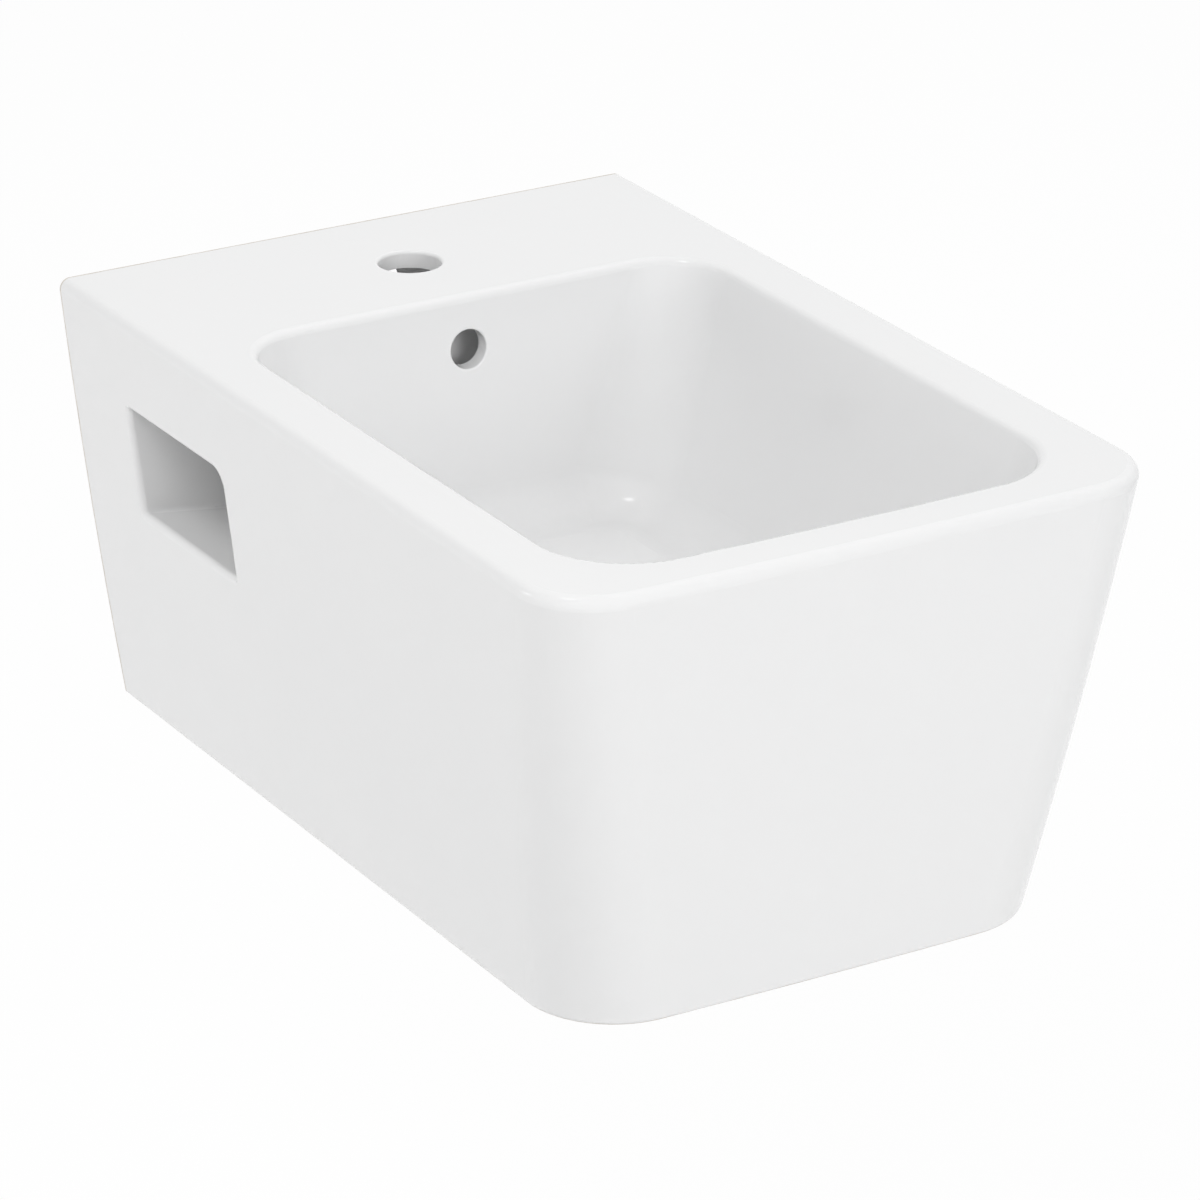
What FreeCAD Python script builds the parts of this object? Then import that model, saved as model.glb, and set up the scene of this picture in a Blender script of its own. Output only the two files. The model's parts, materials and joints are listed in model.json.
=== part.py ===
import FreeCAD, Part
import math
import os
from types import SimpleNamespace

import Sketcher
from FreeCAD import Vector

# A wall-hung bidet: a hollow ceramic casting, its two wall fixings and its push-open waste.
# X runs across, Z up, and the wall is the plane Y = 0, with the front towards -Y.
# The origin lies on the wall, midway between the two wall studs.
# Drops are measured down from the deck, setbacks forward from the wall.

driving = {
    # outside of the casting
    "top_width": 360.0,
    "top_depth": 543.0,
    "body_height": 255.0,
    "side_taper": 33.5,
    "side_bulge": 1.9,
    "front_radius": 5600.0,
    "front_taper": 39.5,
    "front_bulge": 0.6,
    "corner_top": 42.0,
    "corner_base": 51.0,
    "deck_edge": 6.0,
    "base_edge": 3.0,
    # walls of the casting
    "deck_wall": 10.0,
    "shell_wall": 8.5,
    "rear_wall": 12.0,
    "rear_stock": 4.0,
    "base_wall": 8.5,
    "bowl_wall": 9.0,
    # basin
    "rim_side": 36.0,
    "rim_front": 33.0,
    "rim_rear": 134.5,
    "basin_depth": 134.0,
    "basin_side_run": 46.0,
    "basin_front_run": 40.0,
    "basin_rear_run": 14.0,
    "basin_front_corner": 50.0,
    "basin_rear_corner": 38.0,
    "floor_corner": 42.0,
    "floor_fillet": 28.0,
    "floor_margin": 30.0,
    "floor_fall": 6.0,
    "rim_edge": 5.0,
    # drain in the basin floor
    "drain_setback": 274.0,
    "drain_bore": 46.0,
    "drain_flat": 80.0,
    "seat_bore": 68.0,
    "seat_recess": 1.5,
    "drain_boss": 84.0,
    "drain_boss_height": 32.0,
    # overflow hole and its duct behind and under the bowl
    "overflow_bore": 22.0,
    "overflow_drop": 30.5,
    "overflow_edge": 1.0,
    "duct_width": 40.0,
    "duct_gap": 14.0,
    "duct_wall": 8.0,
    "duct_drop": 14.0,
    # tap hole
    "tap_bore": 35.0,
    "tap_setback": 71.7,
    "tap_edge": 2.0,
    # service windows and the tunnels behind them
    "window_rear": 68.5,
    "window_front": 177.5,
    "window_top": 54.0,
    "window_base": 115.0,
    "window_fall": 18.0,
    "window_front_corner": 10.0,
    "window_corner": 2.0,
    "window_edge": 3.5,
    "channel_width": 70.0,
    "tunnel_wall": 8.0,
    # openings in the rear wall and the underside
    "rear_opening_width": 50.0,
    "rear_opening_flare": 8.0,
    "rear_opening_drop": 20.0,
    "rear_opening_height": 185.0,
    "rear_opening_corner": 12.0,
    "base_opening_width": 190.0,
    "base_opening_setback": 40.0,
    "base_opening_length": 360.0,
    "base_opening_corner": 30.0,
    # wall fixings
    "fixing_drop": 86.0,
    "fixing_spacing": 180.0,
    "fixing_bore": 24.0,
    "fixing_tube_wall": 12.0,
    "stud_diameter": 12.0,
    "stud_in_wall": 55.0,
    "stud_past_nut": 7.0,
    "stud_run_out": 8.0,
    "stud_front_thread": 30.0,
    "stud_shank": 10.8,
    "stud_chamfer": 1.5,
    "bush_length": 55.0,
    "bush_collar": 40.0,
    "bush_collar_thickness": 3.0,
    "washer_diameter": 36.0,
    "washer_thickness": 2.5,
    "nut_flats": 19.0,
    "nut_height": 10.8,
    "cover_wall": 1.6,
    "cover_length": 23.0,
    "cover_round": 3.0,
    "fixing_clearance": 0.3,
    # waste
    "flange_diameter": 65.0,
    "flange_thickness": 3.0,
    "flange_round": 1.5,
    "flange_flat": 6.0,
    "tail_diameter": 41.9,
    "tail_bore": 36.4,
    "tail_length": 72.0,
    "tail_stub": 20.0,
    "tail_relief": 2.0,
    "seat_cone_depth": 2.0,
    "flange_seal_thickness": 2.0,
    "slot_width": 9.0,
    "slot_height": 11.0,
    "bridge_drop": 30.0,
    "bridge_height": 8.0,
    "bridge_bar": 5.0,
    "hub_diameter": 18.0,
    "lower_seal_thickness": 5.0,
    "lower_seal_width": 11.0,
    "slip_washer_thickness": 1.5,
    "back_nut_flats": 60.0,
    "back_nut_height": 9.0,
    "waste_clearance": 0.15,
    # push-open cartridge
    "sleeve_diameter": 12.0,
    "sleeve_wall": 1.0,
    "sleeve_drop": 8.0,
    "sleeve_length": 46.0,
    "sleeve_lip": 2.0,
    "collar_diameter": 16.0,
    "collar_thickness": 2.0,
    "end_plate": 2.0,
    "end_spigot": 3.0,
    "stem_diameter": 6.0,
    "head_height": 5.0,
    "slide_clearance": 0.3,
    "spring_wire": 1.0,
    "spring_turns": 8.0,
    # plug, drawn open
    "plug_travel": 9.0,
    "closed_gap": 0.3,
    "cap_diameter": 64.0,
    "cap_plate": 2.5,
    "cap_round": 3.0,
    "carrier_diameter": 61.2,
    "carrier_thickness": 3.0,
    "carrier_boss": 14.0,
    "carrier_boss_height": 7.0,
    "carrier_crown": 1.0,
    "seal_width": 3.6,
    "seal_thickness": 2.0,
    "seal_proud": 0.8,
    "groove_clearance": 0.1,
}

doc = FreeCAD.newDocument("wall_hung_bidet")
sheet = doc.addObject("Spreadsheet::Sheet", "sizes")
for row, (alias, number) in enumerate(driving.items(), start=1):
    sheet.set("A%d" % row, alias)
    sheet.set("B%d" % row, str(number))
    sheet.setAlias("B%d" % row, alias)
doc.recompute()


class Size:
    # a size of the sheet, or a sum of sizes, as the formula that binds it and as its number

    def __init__(self, formula, number):
        self.formula = formula
        self.number = float(number)

    def __add__(self, other):
        other = as_size(other)
        return Size("(%s + %s)" % (self.formula, other.formula), self.number + other.number)

    def __sub__(self, other):
        other = as_size(other)
        return Size("(%s - %s)" % (self.formula, other.formula), self.number - other.number)

    def __mul__(self, other):
        other = as_size(other)
        return Size("(%s * %s)" % (self.formula, other.formula), self.number * other.number)

    def __truediv__(self, other):
        other = as_size(other)
        return Size("(%s / %s)" % (self.formula, other.formula), self.number / other.number)

    def __neg__(self):
        return Size("(0 - %s)" % self.formula, -self.number)

    def __radd__(self, other):
        return as_size(other) + self

    def __rsub__(self, other):
        return as_size(other) - self

    def __rmul__(self, other):
        return as_size(other) * self


def as_size(value):
    if isinstance(value, Size):
        return value
    return Size(repr(float(value)), value)


size = SimpleNamespace(**{alias: Size("sizes." + alias, number) for alias, number in driving.items()})


# Helpers for sketches and features

def bind(item, prop, value):
    item.setExpression(prop, as_size(value).formula)


def new_body(label):
    body = doc.addObject("PartDesign::Body", label)
    body.Label = label
    return body


def sketch_on(body, name, role, offset=0):
    plane = next(feature for feature in body.Origin.OriginFeatures if feature.Role == role)
    sketch = body.newObject("Sketcher::SketchObject", name)
    sketch.AttachmentSupport = [(plane, "")]
    sketch.MapMode = "FlatFace"
    bind(sketch, "AttachmentOffset.Base.z", offset)
    return sketch


def constrain(sketch, kind, *places, value):
    value = as_size(value)
    index = sketch.addConstraint(Sketcher.Constraint(kind, *places, value.number))
    sketch.setExpression("Constraints[%d]" % index, value.formula)


def pin(sketch, edge, end, across, along):
    constrain(sketch, "DistanceX", -1, 1, edge, end, value=across)
    constrain(sketch, "DistanceY", -1, 1, edge, end, value=along)


def polygon(sketch, points):
    points = [(as_size(across), as_size(along)) for across, along in points]
    corners = [Vector(across.number, along.number, 0) for across, along in points]
    first = sketch.GeometryCount
    count = len(points)
    for i in range(count):
        sketch.addGeometry(Part.LineSegment(corners[i], corners[(i + 1) % count]), False)
    for i in range(count):
        following = first + (i + 1) % count
        sketch.addConstraint(Sketcher.Constraint("Coincident", first + i, 2, following, 1))
        pin(sketch, first + i, 1, *points[i])


def circle(sketch, across, along, diameter):
    centre = Vector(as_size(across).number, as_size(along).number, 0)
    radius = as_size(diameter).number / 2
    edge = sketch.addGeometry(Part.Circle(centre, Vector(0, 0, 1), radius), False)
    pin(sketch, edge, 3, across, along)
    constrain(sketch, "Diameter", edge, value=diameter)


def rounded_box(sketch, left, right, low, high, radii, low_arc=None):
    # an upright rectangle with the corner radii given from the low left one round, None for a sharp one;
    # a low side with a radius of its own is an arc about the upright axis, bowed outwards
    left, right, low, high = (as_size(value) for value in (left, right, low, high))
    places = [(left, low), (right, low), (right, high), (left, high)]
    inward = [(1, 1), (-1, 1), (-1, -1), (1, -1)]
    quarter = math.pi / 2
    arcs = []
    starts = []
    ends = []
    for i, radius in enumerate(radii):
        corner = Vector(places[i][0].number, places[i][1].number, 0)
        if radius is None:
            arcs.append(None)
            starts.append(corner)
            ends.append(corner)
            continue
        reach = as_size(radius).number
        centre = corner + Vector(inward[i][0] * reach, inward[i][1] * reach, 0)
        turn = [quarter * (i + 2), quarter * (i + 3)]
        if low_arc is not None and i < 2:
            swing = as_size(low_arc).number - reach
            lean = math.asin(centre.x / swing)
            centre.y = corner.y + reach + swing * (1 - math.cos(lean))
            turn[1 - i] += lean
        arc = Part.ArcOfCircle(Part.Circle(centre, Vector(0, 0, 1), reach), *turn)
        arcs.append(sketch.addGeometry(arc, False))
        starts.append(arc.StartPoint)
        ends.append(arc.EndPoint)
    sides = []
    for i in range(4):
        side = Part.LineSegment(ends[i], starts[(i + 1) % 4])
        if i == 0 and low_arc is not None:
            side = Part.Arc(ends[0], Vector(0, low.number, 0), starts[1])
        sides.append(sketch.addGeometry(side, False))
    for i, arc in enumerate(arcs):
        before = sides[i - 1]
        if arc is None:
            sketch.addConstraint(Sketcher.Constraint("Coincident", before, 2, sides[i], 1))
            continue
        sketch.addConstraint(Sketcher.Constraint("Tangent", before, 2, arc, 1))
        sketch.addConstraint(Sketcher.Constraint("Tangent", arc, 2, sides[i], 1))
        constrain(sketch, "Radius", arc, value=radii[i])
    if low_arc is None:
        sketch.addConstraint(Sketcher.Constraint("Horizontal", sides[0]))
        constrain(sketch, "DistanceY", -1, 1, sides[0], 1, value=low)
    else:
        constrain(sketch, "Radius", sides[0], value=low_arc)
        pin(sketch, sides[0], 3, 0, low + low_arc)
    for i, kind in ((1, "Vertical"), (2, "Horizontal"), (3, "Vertical")):
        sketch.addConstraint(Sketcher.Constraint(kind, sides[i]))
    constrain(sketch, "DistanceX", -1, 1, sides[1], 1, value=right)
    constrain(sketch, "DistanceY", -1, 1, sides[2], 1, value=high)
    constrain(sketch, "DistanceX", -1, 1, sides[3], 1, value=left)


def hexagon(sketch, flats):
    corner = flats / math.sqrt(3)
    points = []
    for i in range(6):
        angle = math.radians(60 * i)
        points.append((corner * math.cos(angle), corner * math.sin(angle)))
    polygon(sketch, points)


def loft(body, name, sections, ruled=False):
    feature = body.newObject("PartDesign::AdditiveLoft", name)
    feature.Profile = sections[0]
    feature.Sections = [(section, [""]) for section in sections[1:]]
    feature.Ruled = ruled
    return feature


def pad(body, name, sketch, length, midplane=False, reverse=False):
    feature = body.newObject("PartDesign::Pad", name)
    feature.Profile = sketch
    bind(feature, "Length", length)
    feature.Midplane = midplane
    feature.Reversed = reverse
    return feature


def pocket(body, name, sketch, length, midplane=False, reverse=False):
    feature = body.newObject("PartDesign::Pocket", name)
    feature.Profile = sketch
    bind(feature, "Length", length)
    feature.Midplane = midplane
    feature.Reversed = reverse
    return feature


def revolve(body, name, role, points):
    # a closed profile turned about the sketch's upright axis
    sketch = sketch_on(body, name + "_profile", role)
    polygon(sketch, points)
    feature = body.newObject("PartDesign::Revolution", name)
    feature.Profile = sketch
    feature.ReferenceAxis = (sketch, ["V_Axis"])
    feature.Angle = 360
    return feature


def fillet(body, name, radius, wanted):
    # rounds the edges of the body's newest feature that pass the test
    doc.recompute()
    base = body.Tip
    names = []
    for index, edge in enumerate(base.Shape.Edges, start=1):
        if wanted(edge):
            names.append("Edge%d" % index)
    if not names:
        raise RuntimeError("no edges for " + name)
    feature = body.newObject("PartDesign::Fillet", name)
    feature.Base = (base, names)
    bind(feature, "Radius", radius)
    return feature


def fuse(name, items):
    joined = doc.addObject("Part::MultiFuse", name)
    joined.Shapes = items
    return joined


def cut(name, base, tool):
    result = doc.addObject("Part::Cut", name)
    result.Base = base
    result.Tool = tool
    return result


def middle(edge):
    first, last = edge.ParameterRange
    return edge.valueAt((first + last) / 2)


def at_height(edge, height):
    box = edge.BoundBox
    return abs(box.ZMin - height) < 0.01 and abs(box.ZMax - height) < 0.01


# Places shared by several pieces

def level(drop):
    return size.fixing_drop - drop


def half_width(drop):
    share = drop / size.body_height
    return size.top_width / 2 - size.side_taper * share + size.side_bulge * 4 * share * (1 - share)


def front_reach(drop):
    share = drop / size.body_height
    return size.top_depth - size.front_taper * share + size.front_bulge * 4 * share * (1 - share)


def corner_radius(drop):
    return size.corner_top + (size.corner_base - size.corner_top) * drop / size.body_height


base_drop = size.body_height
floor_drop = size.basin_depth + size.floor_fall
bowl_drop = floor_drop + size.bowl_wall
seat_drop = floor_drop + size.seat_recess
boss_drop = floor_drop + size.drain_boss_height
basin_half = size.top_width / 2 - size.rim_side
basin_front = size.top_depth - size.rim_front
tunnel_end = size.channel_width / 2 + size.tunnel_wall
fixing_x = size.fixing_spacing / 2


# Casting: the outer form and the forms of its hollows

def outline(body, name, drop, inset=0, rear=0):
    # the casting's plan at one drop: square against the wall, round and slightly bowed at the front
    sketch = sketch_on(body, name, "XY_Plane", level(drop))
    half = half_width(drop) - inset
    corner = corner_radius(drop) - inset
    rounded_box(sketch, -half, half, inset - front_reach(drop), -as_size(rear),
                (corner, corner, None, None), size.front_radius - inset)
    return sketch


def tapered_form(label, top, bottom, inset=0, rear=0):
    body = new_body(label)
    drops = [as_size(top), (as_size(top) + bottom) / 2, as_size(bottom)]
    sections = [outline(body, label + "_plan_%d" % i, drop, inset, rear) for i, drop in enumerate(drops)]
    loft(body, label + "_loft", sections)
    return body


def outer_form():
    # the loft runs past the wall by the stock that is ground off to make the back flat
    body = tapered_form("outer_form", 0, base_drop, rear=-size.rear_stock)
    ground = sketch_on(body, "ground_back_plan", "XZ_Plane")
    reach = size.top_width
    polygon(ground, [
        (-reach, level(base_drop * 2)),
        (reach, level(base_drop * 2)),
        (reach, level(-base_drop)),
        (-reach, level(-base_drop)),
    ])
    pocket(body, "ground_back", ground, size.rear_stock * 2)
    top = level(0).number
    base = level(base_drop).number

    def off_wall(edge):
        return edge.BoundBox.YMin < -0.01

    fillet(body, "deck_round", size.deck_edge, lambda edge: at_height(edge, top) and off_wall(edge))
    fillet(body, "base_round", size.base_edge, lambda edge: at_height(edge, base) and off_wall(edge))
    return body


def basin_section(body, name, drop, grow=0):
    # the basin's plan at one drop, its walls leaning inwards on the way down
    share = as_size(drop) / size.basin_depth
    half = basin_half - size.basin_side_run * share + grow
    front = basin_front - size.basin_front_run * share + grow
    rear = size.rim_rear + size.basin_rear_run * share - grow
    front_corner = size.basin_front_corner + (size.floor_corner - size.basin_front_corner) * share + grow
    rear_corner = size.basin_rear_corner + (size.floor_corner - size.basin_rear_corner) * share + grow
    sketch = sketch_on(body, name, "XY_Plane", level(drop))
    rounded_box(sketch, -half, half, -front, -rear,
                (front_corner, front_corner, rear_corner, rear_corner), size.front_radius)
    return sketch


def drain_section(body, name, drop):
    sketch = sketch_on(body, name, "XY_Plane", level(drop))
    half = size.drain_flat / 2
    corner = half * 0.98
    rounded_box(sketch, -half, half, -size.drain_setback - half, half - size.drain_setback, [corner] * 4)
    return sketch


def basin_hollow():
    # walls with a rounded foot, then a floor that falls to the flat round the drain
    body = new_body("basin_hollow")
    mouth = basin_section(body, "basin_mouth", -size.deck_edge)
    foot = basin_section(body, "basin_foot", size.basin_depth)
    loft(body, "basin_walls", [mouth, foot], ruled=True)
    foot_level = level(size.basin_depth).number
    fillet(body, "floor_round", size.floor_fillet, lambda edge: at_height(edge, foot_level))
    fall_edge = basin_section(body, "fall_edge", size.basin_depth, -size.floor_margin)
    drain = drain_section(body, "basin_drain", floor_drop)
    loft(body, "floor_fall", [fall_edge, drain], ruled=True)
    return body


def bowl_form():
    body = new_body("bowl_form")
    top = basin_section(body, "bowl_mouth", 0, size.bowl_wall)
    base = basin_section(body, "bowl_base", bowl_drop, size.bowl_wall)
    loft(body, "bowl_walls", [top, base], ruled=True)
    base_level = level(bowl_drop).number
    fillet(body, "bowl_round", size.floor_fillet, lambda edge: at_height(edge, base_level))
    return body


def tunnel_form(label, side, grow=0):
    # a service window's tunnel, from the casting's side in towards the middle
    body = new_body(label)
    rear = as_size(grow) - size.window_rear
    front = -size.window_front - grow
    top = level(size.window_top - grow)
    corners = [size.window_corner] * 3 + [size.window_front_corner]
    sections = []
    for name, across, fall in (
        ("mouth", size.top_width / 2, as_size(0)),
        ("end", tunnel_end - grow, size.window_fall),
    ):
        sketch = sketch_on(body, label + "_" + name, "YZ_Plane", across * side)
        base = level(size.window_base + fall + grow)
        rounded_box(sketch, front, rear, base, top, corners)
        sections.append(sketch)
    loft(body, label + "_loft", sections, ruled=True)
    return body


def duct_form(label, grow=0, inside=0):
    # the overflow duct seen from the side: down the bowl's rear wall and along under its floor
    def bowl_rear(drop):
        return size.rim_rear + size.basin_rear_run * drop / size.basin_depth - size.bowl_wall

    body = new_body(label)
    sketch = sketch_on(body, label + "_side", "YZ_Plane")
    top = size.duct_drop - grow
    base = bowl_drop + size.duct_gap + grow
    gap = size.duct_gap + grow
    end = size.drain_setback - size.drain_bore / 2 + grow
    polygon(sketch, [
        (gap - bowl_rear(top), level(top)),
        (gap - bowl_rear(base), level(base)),
        (-end, level(base)),
        (-end, level(bowl_drop - inside)),
        (-bowl_rear(bowl_drop) - inside, level(bowl_drop - inside)),
        (-bowl_rear(top) - inside, level(top)),
    ])
    pad(body, label + "_pad", sketch, size.duct_width + as_size(grow) * 2, midplane=True)
    return body


def upright_bar(label, diameter, top, base, setback):
    bar = doc.addObject("Part::Cylinder", label)
    bind(bar, "Radius", diameter / 2)
    bind(bar, "Height", base - top)
    bind(bar, "Placement.Base.y", -setback)
    bind(bar, "Placement.Base.z", level(base))
    return bar


def wall_bar(label, diameter, across, drop, start, length):
    # a cylinder square to the wall, from one setback forward
    bar = doc.addObject("Part::Cylinder", label)
    bar.Placement = FreeCAD.Placement(Vector(0, 0, 0), FreeCAD.Rotation(Vector(1, 0, 0), 90))
    bind(bar, "Radius", diameter / 2)
    bind(bar, "Height", length)
    bind(bar, "Placement.Base.x", across)
    bind(bar, "Placement.Base.y", -as_size(start))
    bind(bar, "Placement.Base.z", level(drop))
    return bar


def rear_opening():
    # an upright slot in the rear wall that widens towards the wall of the room
    body = new_body("rear_opening")
    top = level(size.rear_opening_drop)
    corner = size.rear_opening_corner
    sections = []
    for name, walls in (("outside", -1), ("inside", 2)):
        sketch = sketch_on(body, "rear_opening_" + name, "XZ_Plane", size.rear_wall * walls)
        half = size.rear_opening_width / 2 + size.rear_opening_flare * (1 - walls)
        rounded_box(sketch, -half, half, top - size.rear_opening_height, top, [corner] * 4)
        sections.append(sketch)
    loft(body, "rear_opening_loft", sections, ruled=True)
    return body


def base_opening():
    body = new_body("base_opening")
    sketch = sketch_on(body, "base_opening_plan", "XY_Plane", level(base_drop))
    half = size.base_opening_width / 2
    rear = -size.base_opening_setback
    corner = size.base_opening_corner
    rounded_box(sketch, -half, half, rear - size.base_opening_length, rear, [corner] * 4)
    pad(body, "base_opening_pad", sketch, size.base_wall * 3, midplane=True)
    return body


def ceramic_body():
    bowl = bowl_form()
    sides = (("right", 1), ("left", -1))
    tunnel_shells = [tunnel_form(side + "_tunnel_shell", sign, size.tunnel_wall) for side, sign in sides]
    tunnels = [tunnel_form(side + "_tunnel", sign) for side, sign in sides]
    tube = size.fixing_bore + size.fixing_tube_wall * 2
    tubes = [
        wall_bar(side + "_fixing_tube", tube, fixing_x * sign, size.fixing_drop, 0, size.window_rear)
        for side, sign in sides
    ]
    bores = [
        wall_bar(side + "_fixing_bore", size.fixing_bore, fixing_x * sign, size.fixing_drop,
                 -size.rear_wall, size.window_rear + size.rear_wall * 2)
        for side, sign in sides
    ]
    boss = upright_bar("drain_boss_bar", size.drain_boss, size.basin_depth, boss_drop, size.drain_setback)
    shells = fuse("inner_walls", [
        bowl, boss, duct_form("duct_shell", size.duct_wall, size.bowl_wall / 2), *tunnel_shells, *tubes,
    ])
    inside = tapered_form("inside_form", size.deck_wall, base_drop - size.base_wall,
                          size.shell_wall, size.rear_wall)
    hollow = cut("hollow", inside, shells)
    tunnel_cut = cut("tunnel_cut", fuse("tunnel_pair", tunnels), bowl)
    seat_top = size.basin_depth
    holes = [
        upright_bar("tap_hole", size.tap_bore, -size.deck_wall, size.deck_wall * 3, size.tap_setback),
        upright_bar("drain_hole", size.drain_bore, seat_top, boss_drop + size.base_wall, size.drain_setback),
        upright_bar("seat_hole", size.seat_bore, seat_top, seat_drop, size.drain_setback),
        wall_bar("overflow_hole", size.overflow_bore, as_size(0), size.overflow_drop,
                 size.rim_rear - size.bowl_wall - size.duct_gap / 2, size.bowl_wall * 3),
    ]
    casting = cut("casting", outer_form(), fuse("cut_away", [
        hollow, tunnel_cut, basin_hollow(), duct_form("duct_hollow"), rear_opening(), base_opening(),
        *bores, *holes,
    ]))
    doc.recompute()
    body = new_body("ceramic_body")
    body.BaseFeature = casting
    round_rims(body)
    return body


def round_rims(body):
    deck = level(0).number
    base = level(base_drop).number

    def on_basin_rim(edge):
        return at_height(edge, deck) and -basin_front.number - 1 < middle(edge).y < 1 - size.rim_rear.number \
            and abs(middle(edge).x) < basin_half.number + 1

    def on_tap_hole(edge):
        setback = middle(edge).y + size.tap_setback.number
        return at_height(edge, deck) and math.hypot(middle(edge).x, setback) < size.tap_bore.number

    def on_overflow(edge):
        point = middle(edge)
        off_axis = math.hypot(point.x, point.z - level(size.overflow_drop).number)
        in_basin = -size.rim_rear.number - size.bowl_wall.number * 2 < point.y < -size.rim_rear.number
        return in_basin and abs(off_axis - size.overflow_bore.number / 2) < 0.2

    def on_window(edge):
        point = middle(edge)
        drop = deck - point.z
        reach = half_width(as_size(drop)).number
        by_window = -size.window_front.number - 1 < point.y < 1 - size.window_rear.number
        beside = size.window_top.number - 1 < drop < size.window_base.number + size.window_fall.number
        return abs(abs(point.x) - reach) < 0.3 and by_window and beside

    fillet(body, "rim_round", size.rim_edge, on_basin_rim)
    fillet(body, "tap_round", size.tap_edge, on_tap_hole)
    fillet(body, "overflow_round", size.overflow_edge, on_overflow)
    fillet(body, "window_round", size.window_edge, on_window)


# Wall fixings, each drawn once on its stud's axis and mirrored to the other side

collar_face = size.window_rear + size.bush_collar_thickness
washer_face = collar_face + size.washer_thickness
nut_face = washer_face + size.nut_height
stud_radius = size.stud_diameter / 2
stud_hole = stud_radius + size.fixing_clearance


def fixing_ring(label, points):
    body = new_body(label)
    revolve(body, label + "_turn", "XY_Plane", points)
    return body


def fixing_pair(label, body):
    bind(body, "Placement.Base.x", fixing_x)
    twin = doc.addObject("Part::Mirroring", label + "_twin")
    twin.Source = body
    twin.Normal = Vector(1, 0, 0)
    pair = doc.addObject("Part::Compound", label)
    pair.Links = [body, twin]
    pair.Label = label
    return pair


def wall_studs():
    back = size.stud_in_wall
    front = -nut_face - size.stud_past_nut
    bevel = size.stud_chamfer
    shank = size.stud_shank / 2
    return fixing_pair("wall_studs", fixing_ring("stud", [
        (0, back),
        (stud_radius - bevel, back),
        (stud_radius, back - bevel),
        (stud_radius, -size.stud_run_out),
        (shank, -size.stud_run_out),
        (shank, front + size.stud_front_thread),
        (stud_radius, front + size.stud_front_thread),
        (stud_radius, front + bevel),
        (stud_radius - bevel, front),
        (0, front),
    ]))


def stud_bushes():
    outer = size.fixing_bore / 2 - size.fixing_clearance
    inner_end = size.bush_length - size.window_rear
    return fixing_pair("stud_bushes", fixing_ring("bush", [
        (stud_hole, inner_end),
        (outer, inner_end),
        (outer, -size.window_rear),
        (size.bush_collar / 2, -size.window_rear),
        (size.bush_collar / 2, -collar_face),
        (stud_hole, -collar_face),
    ]))


def stud_washers():
    return fixing_pair("stud_washers", fixing_ring("washer", [
        (stud_hole, -collar_face),
        (size.washer_diameter / 2, -collar_face),
        (size.washer_diameter / 2, -washer_face),
        (stud_hole, -washer_face),
    ]))


def stud_nuts():
    body = new_body("nut")
    sketch = sketch_on(body, "nut_plan", "XZ_Plane", washer_face)
    hexagon(sketch, size.nut_flats)
    circle(sketch, 0, 0, size.stud_diameter + size.waste_clearance * 2)
    pad(body, "nut_pad", sketch, size.nut_height)
    return fixing_pair("stud_nuts", body)


def stud_caps():
    inner = size.nut_flats / math.sqrt(3) + size.fixing_clearance
    outer = inner + size.cover_wall
    end = washer_face + size.cover_length
    return fixing_pair("stud_caps", fixing_ring("cover", [
        (inner, -washer_face),
        (outer, -washer_face),
        (outer, size.cover_round - end),
        (outer - size.cover_round, -end),
        (0, -end),
        (0, size.cover_wall - end),
        (inner - size.cover_round, size.cover_wall - end),
        (inner, size.cover_wall + size.cover_round - end),
    ]))


# Waste: drawn on the drain's axis, with its zero at the top of the flange

flange_drop = seat_drop - size.flange_seal_thickness - size.flange_thickness
tail_radius = size.tail_diameter / 2
tail_ring = tail_radius + size.waste_clearance
flange_flat_outer = size.flange_diameter / 2 - size.flange_round
boss_face = flange_drop - boss_drop


def on_drain(body):
    bind(body, "Placement.Base.y", -size.drain_setback)
    bind(body, "Placement.Base.z", level(flange_drop))
    return body


def waste_ring(label, points):
    body = new_body(label)
    revolve(body, label + "_turn", "XZ_Plane", points)
    return on_drain(body)


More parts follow.
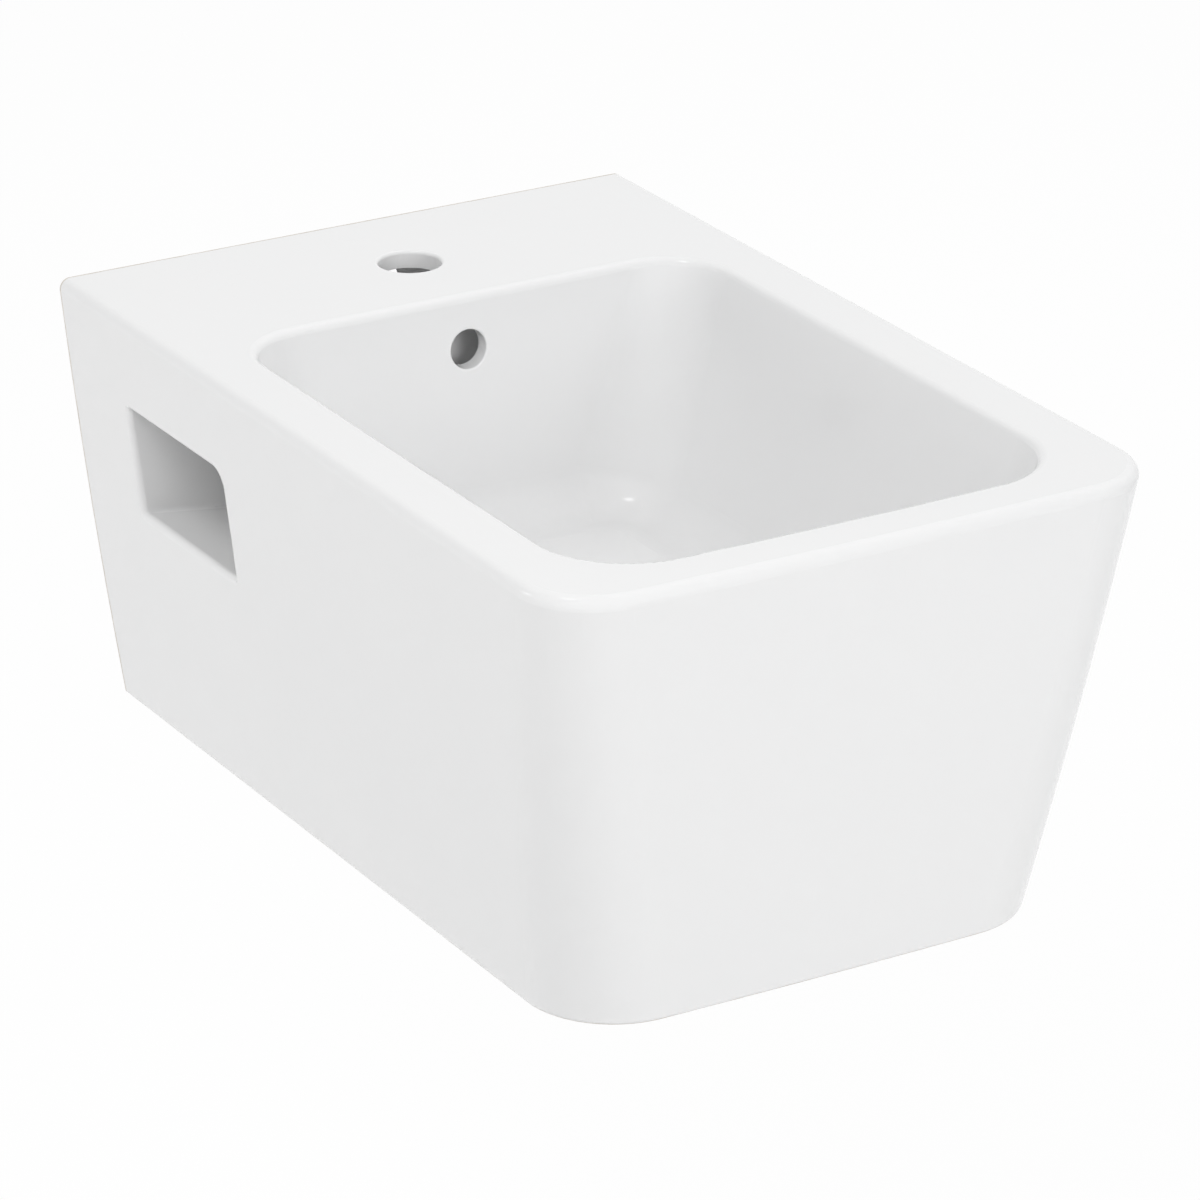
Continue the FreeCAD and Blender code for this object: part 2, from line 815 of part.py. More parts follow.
def waste_body():
    bore = size.tail_bore / 2
    under = -size.flange_thickness
    tail_end = under - size.tail_length
    stub_top = tail_end + size.tail_stub
    relief = size.tail_relief
    body = waste_ring("waste_body", [
        (bore, tail_end),
        (tail_radius, tail_end),
        (tail_radius, stub_top),
        (tail_radius - relief / 2, stub_top),
        (tail_radius - relief / 2, stub_top + relief),
        (tail_radius, stub_top + relief),
        (tail_radius, under),
        (size.flange_diameter / 2, under),
        (size.flange_diameter / 2, -size.flange_round),
        (flange_flat_outer, 0),
        (flange_flat_outer - size.flange_flat, 0),
        (bore, -size.seat_cone_depth),
    ])
    # overflow slots, level with the duct under the bowl
    slot_middle = flange_drop - bowl_drop - size.duct_gap / 2
    half = size.slot_width / 2
    for role in ("XZ_Plane", "YZ_Plane"):
        sketch = sketch_on(body, "slot_" + role[:2], role)
        polygon(sketch, [
            (-half, slot_middle - size.slot_height / 2),
            (half, slot_middle - size.slot_height / 2),
            (half, slot_middle + size.slot_height / 2),
            (-half, slot_middle + size.slot_height / 2),
        ])
        pocket(body, "slots_" + role[:2], sketch, size.tail_diameter * 2, midplane=True)
    # crossed bars and a hub carry the cartridge
    base = -size.bridge_drop - size.bridge_height
    reach = (bore + tail_radius) / 2
    half = size.bridge_bar / 2
    for name, across, along in (("bar_x", reach, half), ("bar_y", half, reach)):
        sketch = sketch_on(body, name + "_plan", "XY_Plane", base)
        polygon(sketch, [(-across, -along), (across, -along), (across, along), (-across, along)])
        pad(body, name, sketch, size.bridge_height)
    hub = sketch_on(body, "hub_plan", "XY_Plane", base)
    circle(hub, 0, 0, size.hub_diameter)
    pad(body, "hub", hub, size.bridge_height)
    hole = sketch_on(body, "hub_hole_plan", "XY_Plane", base)
    circle(hole, 0, 0, size.sleeve_diameter + size.waste_clearance * 2)
    pocket(body, "hub_hole", hole, size.bridge_height * 4, midplane=True)
    return body


def flange_seal():
    under = -size.flange_thickness
    base = under - size.flange_seal_thickness
    outer = flange_flat_outer
    return waste_ring("flange_seal", [(tail_ring, base), (outer, base), (outer, under), (tail_ring, under)])


def lower_seal():
    outer = tail_ring + size.lower_seal_width
    base = boss_face - size.lower_seal_thickness
    bevel = size.lower_seal_thickness / 2
    return waste_ring("lower_seal", [
        (tail_ring, base),
        (outer, base),
        (outer, boss_face - bevel),
        (outer - bevel, boss_face),
        (tail_ring, boss_face),
    ])


def slip_washer():
    outer = tail_ring + size.lower_seal_width
    top = boss_face - size.lower_seal_thickness
    base = top - size.slip_washer_thickness
    return waste_ring("slip_washer", [(tail_ring, base), (outer, base), (outer, top), (tail_ring, top)])


def back_nut():
    body = new_body("back_nut")
    top = boss_face - size.lower_seal_thickness - size.slip_washer_thickness
    sketch = sketch_on(body, "back_nut_plan", "XY_Plane", top - size.back_nut_height)
    hexagon(sketch, size.back_nut_flats)
    circle(sketch, 0, 0, tail_ring * 2)
    pad(body, "back_nut_pad", sketch, size.back_nut_height)
    return on_drain(body)


# Push-open cartridge in the waste's hub

sleeve_radius = size.sleeve_diameter / 2
sleeve_bore = sleeve_radius - size.sleeve_wall
sleeve_top = -size.sleeve_drop
sleeve_base = sleeve_top - size.sleeve_length
spigot_top = sleeve_base + size.end_spigot
stem_radius = size.stem_diameter / 2
head_top = sleeve_top - size.sleeve_lip - size.slide_clearance
head_base = head_top - size.head_height


def cartridge_sleeve():
    lip = stem_radius + size.slide_clearance
    collar_base = -size.bridge_drop
    collar_top = collar_base + size.collar_thickness
    return waste_ring("cartridge_sleeve", [
        (lip, sleeve_top),
        (sleeve_radius, sleeve_top),
        (sleeve_radius, collar_top),
        (size.collar_diameter / 2, collar_top),
        (size.collar_diameter / 2, collar_base),
        (sleeve_radius, collar_base),
        (sleeve_radius, sleeve_base),
        (sleeve_bore, sleeve_base),
        (sleeve_bore, sleeve_top - size.sleeve_lip),
        (lip, sleeve_top - size.sleeve_lip),
    ])


def cartridge_end():
    spigot = sleeve_bore - size.waste_clearance
    plate = sleeve_base - size.end_plate
    return waste_ring("cartridge_end", [
        (0, plate),
        (sleeve_radius, plate),
        (sleeve_radius, sleeve_base),
        (spigot, sleeve_base),
        (spigot, spigot_top),
        (0, spigot_top),
    ])


def cartridge_spring():
    body = new_body("cartridge_spring")
    turn_radius = sleeve_bore - size.slide_clearance - size.spring_wire / 2
    first = spigot_top + size.spring_wire / 2 + size.waste_clearance
    last = head_base - size.spring_wire / 2 - size.waste_clearance
    sketch = sketch_on(body, "spring_wire_plan", "XZ_Plane")
    circle(sketch, turn_radius, first, size.spring_wire)
    coil = body.newObject("PartDesign::AdditiveHelix", "spring_coil")
    coil.Profile = sketch
    coil.ReferenceAxis = (sketch, ["V_Axis"])
    coil.Mode = "height-turns-angle"
    bind(coil, "Height", last - first)
    bind(coil, "Turns", size.spring_turns)
    return on_drain(body)


# Plug, drawn open, above its seat by its travel

carrier_base = size.closed_gap + size.seal_proud + size.plug_travel
carrier_top = carrier_base + size.carrier_thickness
stem_top = carrier_top - size.carrier_crown
seal_middle = flange_flat_outer - size.flange_flat / 2
seal_top = carrier_base - size.seal_proud + size.seal_thickness


def plug_stem():
    head = sleeve_bore - size.slide_clearance
    return waste_ring("plug_stem", [
        (0, head_base),
        (head, head_base),
        (head, head_top),
        (stem_radius, head_top),
        (stem_radius, stem_top),
        (0, stem_top),
    ])


def plug_carrier():
    hole = stem_radius + size.waste_clearance
    boss_base = carrier_base - size.carrier_boss_height
    groove_half = size.seal_width / 2 + size.groove_clearance
    return waste_ring("plug_carrier", [
        (hole, boss_base),
        (size.carrier_boss / 2, boss_base),
        (size.carrier_boss / 2, carrier_base),
        (seal_middle - groove_half, carrier_base),
        (seal_middle - groove_half, seal_top),
        (seal_middle + groove_half, seal_top),
        (seal_middle + groove_half, carrier_base),
        (size.carrier_diameter / 2, carrier_base),
        (size.carrier_diameter / 2, carrier_top),
        (0, carrier_top),
        (0, stem_top),
        (hole, stem_top),
    ])


def plug_seal():
    inner = seal_middle - size.seal_width / 2
    outer = seal_middle + size.seal_width / 2
    base = carrier_base - size.seal_proud
    return waste_ring("plug_seal", [(inner, base), (outer, base), (outer, seal_top), (inner, seal_top)])


def plug_cap():
    inner = size.carrier_diameter / 2 + size.waste_clearance
    outer = size.cap_diameter / 2
    top = carrier_top + size.cap_plate
    body = waste_ring("plug_cap", [
        (0, carrier_top),
        (inner, carrier_top),
        (inner, carrier_base),
        (outer, carrier_base),
        (outer, top),
        (0, top),
    ])
    local_top = top.number
    fillet(body, "cap_edge", size.cap_round, lambda edge: at_height(edge, local_top))
    return body


nodes = [
    ceramic_body(),
    wall_studs(), stud_bushes(), stud_washers(), stud_nuts(), stud_caps(),
    waste_body(), flange_seal(), lower_seal(), slip_washer(), back_nut(),
    cartridge_sleeve(), cartridge_end(), cartridge_spring(),
    plug_stem(), plug_carrier(), plug_seal(), plug_cap(),
]

# Every object is checked before anything is written
doc.recompute()
for item in doc.Objects:
    if "Invalid" in item.State or "Error" in item.State:
        raise RuntimeError("%s failed: %s" % (item.Label, item.State))
for node in nodes:
    if node.Shape.isNull() or not node.Shape.isValid():
        raise RuntimeError(node.Label + " has no valid shape")
os.makedirs("parts", exist_ok=True)
for node in nodes:
    node.Shape.exportStep("parts/%s.step" % node.Label)
    print(node.Label, len(node.Shape.Solids), "solids", round(node.Shape.Volume), "mm3")
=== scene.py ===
import json
import math
import bmesh
import bpy
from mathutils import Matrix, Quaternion, Vector


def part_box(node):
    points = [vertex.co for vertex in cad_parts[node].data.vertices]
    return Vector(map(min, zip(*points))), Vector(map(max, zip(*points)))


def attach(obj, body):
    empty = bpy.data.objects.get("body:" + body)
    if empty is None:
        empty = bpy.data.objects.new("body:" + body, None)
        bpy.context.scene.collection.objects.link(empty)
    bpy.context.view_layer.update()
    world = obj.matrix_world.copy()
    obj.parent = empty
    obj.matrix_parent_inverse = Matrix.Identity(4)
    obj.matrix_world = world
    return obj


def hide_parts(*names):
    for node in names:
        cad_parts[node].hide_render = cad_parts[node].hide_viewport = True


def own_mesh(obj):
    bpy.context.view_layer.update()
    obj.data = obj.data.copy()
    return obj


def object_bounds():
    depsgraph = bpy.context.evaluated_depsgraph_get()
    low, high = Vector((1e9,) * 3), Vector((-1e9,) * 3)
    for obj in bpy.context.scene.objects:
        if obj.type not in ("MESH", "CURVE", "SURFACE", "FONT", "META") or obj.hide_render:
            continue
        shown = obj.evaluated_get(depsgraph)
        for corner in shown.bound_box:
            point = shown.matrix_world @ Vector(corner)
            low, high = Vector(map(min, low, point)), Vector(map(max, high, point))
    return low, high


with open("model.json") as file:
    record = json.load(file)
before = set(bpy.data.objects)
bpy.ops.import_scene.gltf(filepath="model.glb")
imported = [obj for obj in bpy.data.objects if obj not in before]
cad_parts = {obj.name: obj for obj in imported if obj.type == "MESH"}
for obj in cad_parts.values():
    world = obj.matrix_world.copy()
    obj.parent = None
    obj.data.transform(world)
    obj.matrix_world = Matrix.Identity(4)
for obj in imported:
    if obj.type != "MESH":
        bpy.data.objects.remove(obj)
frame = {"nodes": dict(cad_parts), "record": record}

nodes = frame["nodes"]
cadLow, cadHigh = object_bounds()
scene = bpy.context.scene
print("frame loaded:", len(nodes), "pieces")


# node helpers: a socket takes either a link or a fixed value

def feed(tree, socket, value):
    if isinstance(value, bpy.types.NodeSocket):
        tree.links.new(value, socket)
    else:
        socket.default_value = value


def addNode(tree, kind, **inputs):
    node = tree.nodes.new(kind)
    for name, value in inputs.items():
        feed(tree, node.inputs[name], value)
    return node


def mathNode(tree, operation, first, second, clamp=False):
    node = tree.nodes.new("ShaderNodeMath")
    node.operation = operation
    node.use_clamp = clamp
    feed(tree, node.inputs[0], first)
    feed(tree, node.inputs[1], second)
    return node.outputs[0]


# where a Mix node has its two values and its result, by their kind
mixSockets = {"FLOAT": (2, 3, 0), "RGBA": (6, 7, 2)}


def mixNode(tree, kind, factor, first, second):
    node = tree.nodes.new("ShaderNodeMix")
    node.data_type = kind
    firstAt, secondAt, resultAt = mixSockets[kind]
    feed(tree, node.inputs["Factor"], factor)
    feed(tree, node.inputs[firstAt], first)
    feed(tree, node.inputs[secondAt], second)
    return node.outputs[resultAt]


def mixShader(tree, factor, first, second):
    node = tree.nodes.new("ShaderNodeMixShader")
    for socket, value in zip(node.inputs, (factor, first, second)):
        feed(tree, socket, value)
    return node.outputs[0]


def newGroup(name, inputs, outputs):
    group = bpy.data.node_groups.new(name, "ShaderNodeTree")
    for direction, sockets in (("INPUT", inputs), ("OUTPUT", outputs)):
        for label, kind in sockets:
            group.interface.new_socket(label, in_out=direction, socket_type="NodeSocket" + kind)
    given = group.nodes.new("NodeGroupInput").outputs
    put = group.nodes.new("NodeGroupOutput").inputs
    return group, given, put


def useGroup(tree, group, **inputs):
    node = tree.nodes.new("ShaderNodeGroup")
    node.node_tree = group
    for name, value in inputs.items():
        feed(tree, node.inputs[name], value)
    return node.outputs


def objectPlace(tree):
    return tree.nodes.new("ShaderNodeTexCoord").outputs["Object"]


# slow drift between two tones, by where a point lies on the piece

driftSet = {"detail": 4.0, "roughness": 0.55}


def makeToneDrift():
    group, given, put = newGroup(
        "toneDrift",
        [("Tone", "Color"), ("Drift", "Color"), ("Scale", "Float"), ("Contrast", "Float")],
        [("Colour", "Color")],
    )
    clouds = addNode(group, "ShaderNodeTexNoise", Vector=objectPlace(group), Scale=given["Scale"],
                     Detail=driftSet["detail"], Roughness=driftSet["roughness"])
    centred = mathNode(group, "SUBTRACT", clouds.outputs["Fac"], 0.5)
    spread = mathNode(group, "MULTIPLY", centred, given["Contrast"])
    mask = mathNode(group, "ADD", spread, 0.5, clamp=True)
    feed(group, put["Colour"], mixNode(group, "RGBA", mask, given["Tone"], given["Drift"]))
    return group


# fine unevenness of a finish: a height for the bump and a roughness between two limits

grainSet = {"roughness": 0.5, "patchScale": 23.0, "patchDetail": 3.0, "patchLow": 0.3,
            "patchHigh": 0.7}


def makeFineGrain():
    group, given, put = newGroup(
        "fineGrain",
        [("Scale", "Float"), ("Detail", "Float"), ("Smooth", "Float"), ("Rough", "Float")],
        [("Height", "Float"), ("Roughness", "Float")],
    )
    where = objectPlace(group)
    fine = addNode(group, "ShaderNodeTexNoise", Vector=where, Scale=given["Scale"],
                   Detail=given["Detail"], Roughness=grainSet["roughness"])
    patches = addNode(group, "ShaderNodeTexNoise", Vector=where, Scale=grainSet["patchScale"],
                      Detail=grainSet["patchDetail"])
    limits = {"From Min": grainSet["patchLow"], "From Max": grainSet["patchHigh"],
              "To Min": given["Smooth"], "To Max": given["Rough"]}
    spread = addNode(group, "ShaderNodeMapRange", Value=patches.outputs["Fac"], **limits)
    feed(group, put["Height"], fine.outputs["Fac"])
    feed(group, put["Roughness"], spread.outputs["Result"])
    return group


toneDrift = makeToneDrift()
fineGrain = makeFineGrain()


def rgba(tone):
    return (*tone, 1.0)


def newMaterial(name, **inputs):
    material = bpy.data.materials.new(name)
    material.use_nodes = True
    tree = material.node_tree
    shader = tree.nodes["Principled BSDF"]
    for label, value in inputs.items():
        feed(tree, shader.inputs[label], value)
    return material, tree, shader


def dress(tree, shader, colour, roughness, height, bump, bumpDepth):
    normal = addNode(tree, "ShaderNodeBump", Height=height, Strength=bump, Distance=bumpDepth)
    feed(tree, shader.inputs["Base Color"], colour)
    feed(tree, shader.inputs["Roughness"], roughness)
    feed(tree, shader.inputs["Normal"], normal.outputs["Normal"])


# finish of every small piece: two tones, a roughness range and a fine grain

smallSet = {"toneContrast": 1.6, "grainDetail": 2.0, "bumpDepth": 0.0004}
smallFinishes = {
    "zinc_steel": {"tone": (0.56, 0.57, 0.58), "drift": (0.66, 0.64, 0.56), "toneScale": 60.0,
                   "smooth": 0.24, "rough": 0.38, "grain": 900.0, "bump": 0.12, "metal": 1.0},
    "bush_plastic": {"tone": (0.74, 0.74, 0.71), "drift": (0.68, 0.68, 0.64), "toneScale": 40.0,
                     "smooth": 0.42, "rough": 0.55, "grain": 1400.0, "bump": 0.2, "metal": 0.0},
    "cover_plastic": {"tone": (0.78, 0.78, 0.78), "drift": (0.74, 0.74, 0.74), "toneScale": 50.0,
                      "smooth": 0.16, "rough": 0.26, "grain": 500.0, "bump": 0.05, "metal": 0.0},
    "chrome": {"tone": (0.72, 0.73, 0.74), "drift": (0.66, 0.67, 0.69), "toneScale": 30.0,
               "smooth": 0.03, "rough": 0.09, "grain": 260.0, "bump": 0.02, "metal": 1.0},
    "seal_rubber": {"tone": (0.022, 0.022, 0.023), "drift": (0.04, 0.04, 0.041), "toneScale": 70.0,
                    "smooth": 0.55, "rough": 0.72, "grain": 1600.0, "bump": 0.25, "metal": 0.0},
    "brass": {"tone": (0.68, 0.47, 0.19), "drift": (0.55, 0.36, 0.14), "toneScale": 55.0,
              "smooth": 0.2, "rough": 0.34, "grain": 1100.0, "bump": 0.1, "metal": 1.0},
    "spring_steel": {"tone": (0.45, 0.45, 0.46), "drift": (0.36, 0.36, 0.38), "toneScale": 120.0,
                     "smooth": 0.26, "rough": 0.4, "grain": 1500.0, "bump": 0.1, "metal": 1.0},
    "carrier_plastic": {"tone": (0.03, 0.03, 0.033), "drift": (0.045, 0.045, 0.048),
                        "toneScale": 60.0, "smooth": 0.38, "rough": 0.5, "grain": 1500.0,
                        "bump": 0.2, "metal": 0.0},
}


def makeSmallFinish(name, finish):
    material, tree, shader = newMaterial(name + "_finish", Metallic=finish["metal"])
    tones = useGroup(tree, toneDrift, Tone=rgba(finish["tone"]), Drift=rgba(finish["drift"]),
                     Scale=finish["toneScale"], Contrast=smallSet["toneContrast"])
    grain = useGroup(tree, fineGrain, Scale=finish["grain"], Detail=smallSet["grainDetail"],
                     Smooth=finish["smooth"], Rough=finish["rough"])
    dress(tree, shader, tones["Colour"], grain["Roughness"], grain["Height"],
          finish["bump"], smallSet["bumpDepth"])
    return material


# glaze of the casting, wiped off where it meets the wall and along its foot

glazeSet = {
    "ior": 1.5,
    "white": (0.80, 0.80, 0.80),
    "shade": (0.785, 0.787, 0.79),
    "toneScale": 5.0,
    "toneContrast": 1.5,
    "smooth": 0.12,
    "rough": 0.16,
    "grain": 70.0,
    "grainDetail": 1.0,
    "bump": 0.06,
    "bumpDepth": 0.0006,
}
claySet = {
    "tone": (0.67, 0.64, 0.59),
    "drift": (0.59, 0.555, 0.50),
    "toneScale": 26.0,
    "toneContrast": 2.4,
    "rough": 0.72,
    "grain": 700.0,
    "grainDetail": 3.0,
    "depth": 0.0012,        # how far the bare clay reaches in from the wall and the foot
    "wobble": 0.0016,       # how uneven the edge of the glaze is
    "wobbleScale": 90.0,
    "wobbleDetail": 3.0,
}


def makeGlaze():
    material, tree, shader = newMaterial("glaze_finish", IOR=glazeSet["ior"])
    where = objectPlace(tree)
    axes = addNode(tree, "ShaderNodeSeparateXYZ", Vector=where).outputs
    low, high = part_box("ceramic_body")
    # bare clay: a band at the wall and one under the foot, with a wavering edge
    waver = addNode(tree, "ShaderNodeTexNoise", Vector=where, Scale=claySet["wobbleScale"],
                    Detail=claySet["wobbleDetail"])
    centred = mathNode(tree, "SUBTRACT", waver.outputs["Fac"], 0.5)
    wave = mathNode(tree, "MULTIPLY", centred, claySet["wobble"])
    fromWall = mathNode(tree, "SUBTRACT", high.y, axes["Y"])
    fromFoot = mathNode(tree, "SUBTRACT", axes["Z"], low.z)
    nearest = mathNode(tree, "ADD", mathNode(tree, "MINIMUM", fromWall, fromFoot), wave)
    bare = mathNode(tree, "LESS_THAN", nearest, claySet["depth"])
    tones = useGroup(tree, toneDrift, Tone=rgba(glazeSet["white"]), Drift=rgba(glazeSet["shade"]),
                     Scale=glazeSet["toneScale"], Contrast=glazeSet["toneContrast"])
    mottle = useGroup(tree, toneDrift, Tone=rgba(claySet["tone"]), Drift=rgba(claySet["drift"]),
                      Scale=claySet["toneScale"], Contrast=claySet["toneContrast"])
    grain = useGroup(tree, fineGrain, Scale=glazeSet["grain"], Detail=glazeSet["grainDetail"],
                     Smooth=glazeSet["smooth"], Rough=glazeSet["rough"])
    clay = addNode(tree, "ShaderNodeTexNoise", Vector=where, Scale=claySet["grain"],
                   Detail=claySet["grainDetail"])
    colour = mixNode(tree, "RGBA", bare, tones["Colour"], mottle["Colour"])
    roughness = mixNode(tree, "FLOAT", bare, grain["Roughness"], claySet["rough"])
    height = mixNode(tree, "FLOAT", bare, grain["Height"], clay.outputs["Fac"])
    dress(tree, shader, colour, roughness, height, glazeSet["bump"], glazeSet["bumpDepth"])
    return material


finishes = {name: makeSmallFinish(name, finish) for name, finish in smallFinishes.items()}
finishes["glaze"] = makeGlaze()
for part in frame["record"]["subparts"]:
    materials = nodes[part["node"]].data.materials
    materials.clear()
    materials.append(finishes[part["material_slot"]])
print("finishes:", len(finishes))


def addPiece(name, mesh, finish, sharpAngle):
    bmesh.ops.recalc_face_normals(mesh, faces=mesh.faces)
    data = bpy.data.meshes.new(name)
    mesh.to_mesh(data)
    mesh.free()
    data.shade_smooth()
    data.set_sharp_from_angle(angle=math.radians(sharpAngle))
    data.materials.append(finishes[finish])
    piece = bpy.data.objects.new(name, data)
    scene.collection.objects.link(piece)
    return piece


# wall studs: a thread at each end of a plain shank, in the place of the smooth ones

studSet = {"pitch": 0.00175, "depth": 0.00095, "flat": 0.12, "around": 28, "chamfer": 0.0014,
           "runOut": 0.008, "frontThread": 0.030, "shank": 0.0054, "spareTurns": 2,
           "sharpAngle": 35}


def makeStud(name, low, high):
    # the thread's four-line profile, wound past both ends of the stud's own axis and cut square
    centre = (low + high) / 2
    radius = (high.x - low.x) / 2
    length = high.y - low.y
    pitch = studSet["pitch"]
    around = studSet["around"]
    flat = studSet["flat"]
    spare = studSet["spareTurns"]
    profile = [(0.0, 0.0), (flat, 0.0), (0.5, 1.0), (0.5 + flat, 1.0)]
    rings = int((length / pitch + 2 * spare) * around)
    mesh = bmesh.new()
    lines = []
    for i in range(rings + 1):
        angle = 2 * math.pi * i / around
        line = []
        for share, crest in profile:
            along = (i / around - spare + share) * pitch
            tip = radius - studSet["chamfer"] + max(min(along, length - along), 0.0)
            reach = min(radius - studSet["depth"] * (1 - crest), tip)
            if studSet["frontThread"] < along < -low.y - studSet["runOut"]:
                reach = studSet["shank"]
            x = centre.x + reach * math.cos(angle)
            z = centre.z - reach * math.sin(angle)
            line.append(mesh.verts.new((x, low.y + along, z)))
        lines.append(line)
    for i in range(rings):
        here, there = lines[i], lines[i + 1]
        for k in range(len(profile) - 1):
            mesh.faces.new((here[k], there[k], there[k + 1], here[k + 1]))
        if i + around < rings:
            nextHere, nextThere = lines[i + around], lines[i + 1 + around]
            mesh.faces.new((here[-1], there[-1], nextThere[0], nextHere[0]))
    for end, outward in ((low.y, -1), (high.y, 1)):
        everything = mesh.verts[:] + mesh.edges[:] + mesh.faces[:]
        bmesh.ops.bisect_plane(mesh, geom=everything, plane_co=(0, end, 0),
                               plane_no=(0, outward, 0), clear_outer=True)
    rims = [edge for edge in mesh.edges if edge.is_boundary]
    bmesh.ops.holes_fill(mesh, edges=rims, sides=0)
    return addPiece(name, mesh, "zinc_steel", studSet["sharpAngle"])


studLow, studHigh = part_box("wall_studs")
studWidth = studHigh.z - studLow.z
rightLow = Vector((studHigh.x - studWidth, studLow.y, studLow.z))
leftHigh = Vector((studLow.x + studWidth, studHigh.y, studHigh.z))
rightStud = makeStud("right_stud", rightLow, studHigh)
leftStud = makeStud("left_stud", studLow, leftHigh)
leftStud.parent = rightStud
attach(rightStud, "bidet")
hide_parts("wall_studs")
print("studs threaded")


# cartridge spring: one wound wire, built in the place of the plain one

springSet = {"turns": 8, "wireRadius": 0.0005, "around": 28, "sides": 12, "sharpAngle": 50}


def makeSpring(low, high):
    # a ring of points square to the wire at each step, joined into one closed tube
    centre = (low + high) / 2
    wire = springSet["wireRadius"]
    turns = springSet["turns"]
    around = springSet["around"]
    sides = springSet["sides"]
    reach = (high.x - low.x) / 2 - wire
    climb = (high.z - low.z - 2 * wire) / turns
    mesh = bmesh.new()
    rings = []
    for i in range(turns * around + 1):
        turned = i / around
        angle = 2 * math.pi * turned
        outward = Vector((math.cos(angle), math.sin(angle), 0))
        forward = Vector((-math.sin(angle), math.cos(angle), 0))
        along = (reach * forward + Vector((0, 0, climb / (2 * math.pi)))).normalized()
        across = along.cross(outward)
        middle = Vector((centre.x, centre.y, low.z + wire + climb * turned)) + reach * outward
        ring = []
        for k in range(sides):
            turn = 2 * math.pi * k / sides
            offset = math.cos(turn) * outward + math.sin(turn) * across
            ring.append(mesh.verts.new(middle + wire * offset))
        rings.append(ring)
    for here, there in zip(rings, rings[1:]):
        for k in range(sides):
            mesh.faces.new((here[k], here[k - 1], there[k - 1], there[k]))
    mesh.faces.new(rings[0])
    mesh.faces.new(rings[-1])
    return addPiece("coil_spring", mesh, "spring_steel", springSet["sharpAngle"])


springLow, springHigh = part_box("cartridge_spring")
coilSpring = makeSpring(springLow, springHigh)
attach(coilSpring, "bidet")
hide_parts("cartridge_spring")
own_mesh(coilSpring)


# stage: a pale floor well below the piece, a soft world and large soft lamps

stageSet = {"floorDrop": 0.42, "floorSize": 60.0, "floorTone": (0.9, 0.9, 0.9), "floorRough": 0.9,
            "floorWhite": 0.95, "world": 0.418, "lampAim": (0.0, -0.27, -0.05)}
# the large lamps give an even light; the small ones are only mirrored in the glaze, as glints
lampSet = {
    "frontLamp": {"place": (0.78, -3.18, 1.04), "size": 1.6, "power": 33.2, "mirrored": False},
    "frontLeftLamp": {"place": (-1.73, -1.72, 2.21), "size": 1.6, "power": 31.1, "mirrored": False},
    "leftLamp": {"place": (-2.06, -0.27, 2.40), "size": 1.6, "power": 11.9, "mirrored": False},
    "rearLeftLamp": {"place": (-2.62, 1.57, -0.05), "size": 1.6, "power": 16.7, "mirrored": False},
    "rearRightLamp": {"place": (1.58, 1.05, 2.40), "size": 1.6, "power": 34.8, "mirrored": False},
    "basinGlint": {"place": (-0.9, -0.3, 2.8), "size": 0.6, "power": 5.0, "mirrored": True},
    "edgeGlint": {"place": (-2.49, 1.22, 1.30), "size": 0.6, "power": 5.0, "mirrored": True},
}


def seenByCamera(tree):
    path = tree.nodes.new("ShaderNodeLightPath").outputs
    mirrored = mathNode(tree, "MAXIMUM", path["Is Glossy Ray"], path["Is Transmission Ray"])
    return mathNode(tree, "MAXIMUM", path["Is Camera Ray"], mirrored)


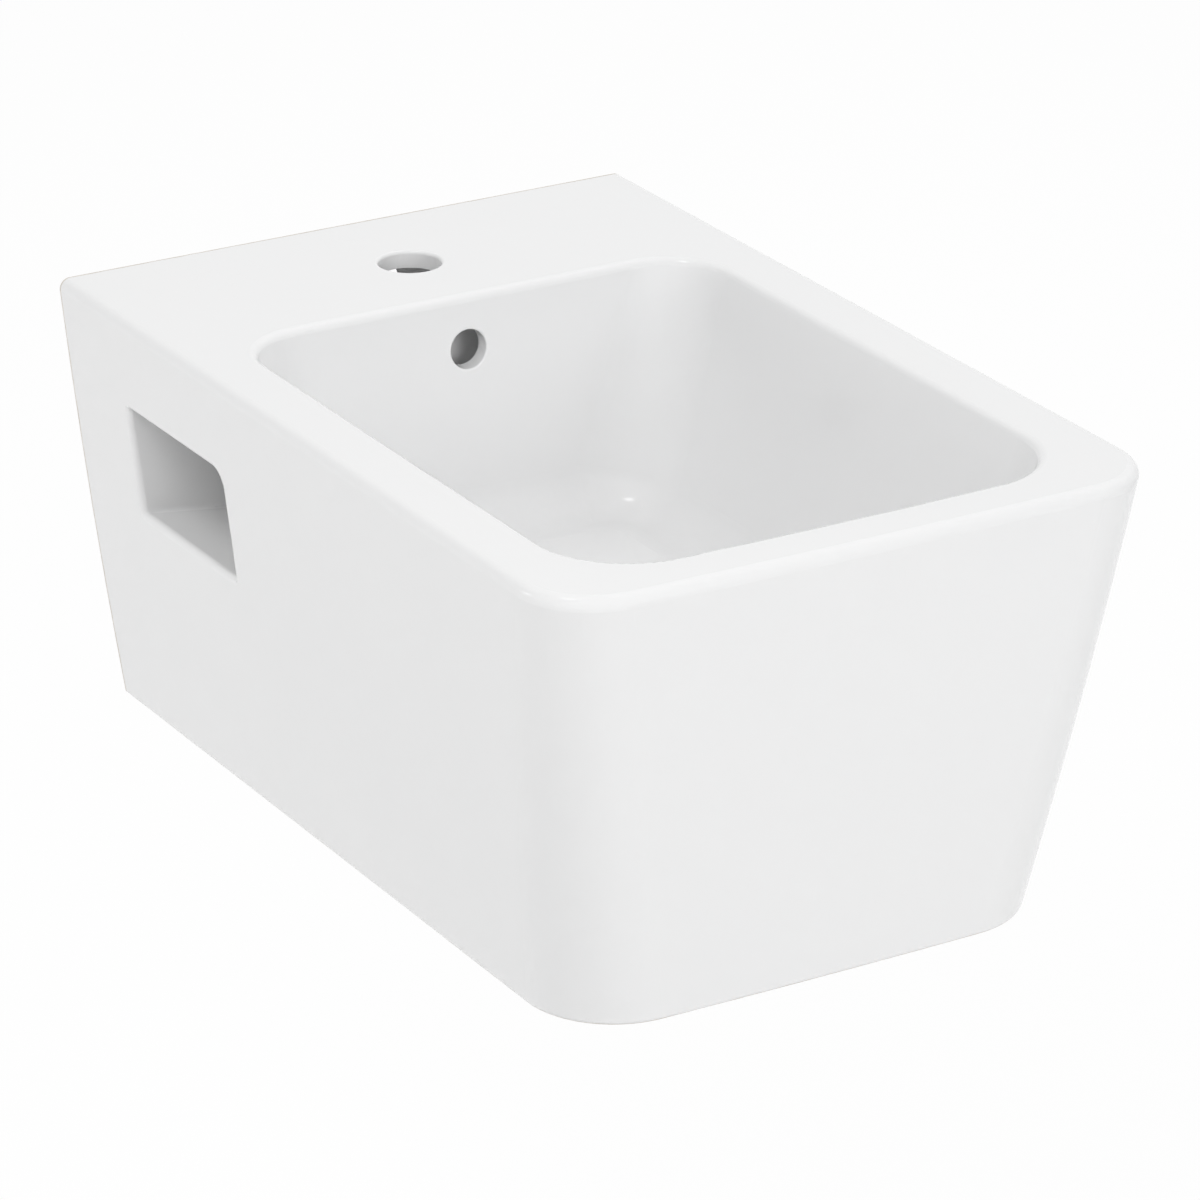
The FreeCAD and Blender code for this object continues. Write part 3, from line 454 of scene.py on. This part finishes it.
def makeFloor():
    half = stageSet["floorSize"] / 2
    corners = [(-half, -half, 0), (half, -half, 0), (half, half, 0), (-half, half, 0)]
    data = bpy.data.meshes.new("floor")
    data.from_pydata(corners, [], [(0, 1, 2, 3)])
    floor = bpy.data.objects.new("floor", data)
    floor.location.z = cadLow.z - stageSet["floorDrop"]
    scene.collection.objects.link(floor)
    material, tree, shader = newMaterial("floor_paper", Roughness=stageSet["floorRough"])
    feed(tree, shader.inputs["Base Color"], rgba(stageSet["floorTone"]))
    white = addNode(tree, "ShaderNodeEmission", Strength=1.0)
    share = mathNode(tree, "MULTIPLY", seenByCamera(tree), stageSet["floorWhite"])
    paper = mixShader(tree, share, shader.outputs[0], white.outputs[0])
    # seen from below the floor is clear, so that the underside shows
    below = tree.nodes.new("ShaderNodeNewGeometry").outputs["Backfacing"]
    clear = tree.nodes.new("ShaderNodeBsdfTransparent").outputs[0]
    surface = tree.nodes["Material Output"].inputs["Surface"]
    feed(tree, surface, mixShader(tree, below, paper, clear))
    data.materials.append(material)


def makeWorld():
    world = bpy.data.worlds.new("studio")
    world.use_nodes = True
    tree = world.node_tree
    background = tree.nodes["Background"]
    strength = mixNode(tree, "FLOAT", seenByCamera(tree), stageSet["world"], 1.0)
    feed(tree, background.inputs["Color"], (1.0, 1.0, 1.0, 1.0))
    feed(tree, background.inputs["Strength"], strength)
    scene.world = world


def makeLamp(name, lamp):
    data = bpy.data.lights.new(name, "AREA")
    data.shape = "DISK"
    data.size = lamp["size"]
    data.energy = lamp["power"]
    light = bpy.data.objects.new(name, data)
    light.location = lamp["place"]
    light.visible_glossy = lamp["mirrored"]
    light.visible_diffuse = not lamp["mirrored"]
    aim = Vector(stageSet["lampAim"]) - light.location
    light.rotation_euler = aim.to_track_quat("-Z", "Y").to_euler()
    scene.collection.objects.link(light)


makeFloor()
makeWorld()
for lampName, lamp in lampSet.items():
    makeLamp(lampName, lamp)
print("stage lit")


# camera at the photograph's viewing angle

cameraSet = {"azimuth": -30.82, "elevation": 22.931, "roll": 0.183, "distance": 3.2184,
             "target": (0.00463, -0.270, -0.0455), "lens": 180.6, "sensor": 36.0}


def makeCamera():
    azimuth = math.radians(cameraSet["azimuth"])
    elevation = math.radians(cameraSet["elevation"])
    away = Vector((math.sin(azimuth), -math.cos(azimuth), 0)) * math.cos(elevation)
    back = away + Vector((0, 0, math.sin(elevation)))
    data = bpy.data.cameras.new("camera")
    data.lens = cameraSet["lens"]
    data.sensor_width = cameraSet["sensor"]
    camera = bpy.data.objects.new("camera", data)
    camera.rotation_mode = "QUATERNION"
    camera.location = Vector(cameraSet["target"]) + back * cameraSet["distance"]
    level = (-back).to_track_quat("-Z", "Y")
    roll = Quaternion((0, 0, 1), math.radians(cameraSet["roll"]))
    camera.rotation_quaternion = level @ roll
    scene.collection.objects.link(camera)
    scene.camera = camera


makeCamera()
scene.view_settings.view_transform = "Standard"
print("camera set")
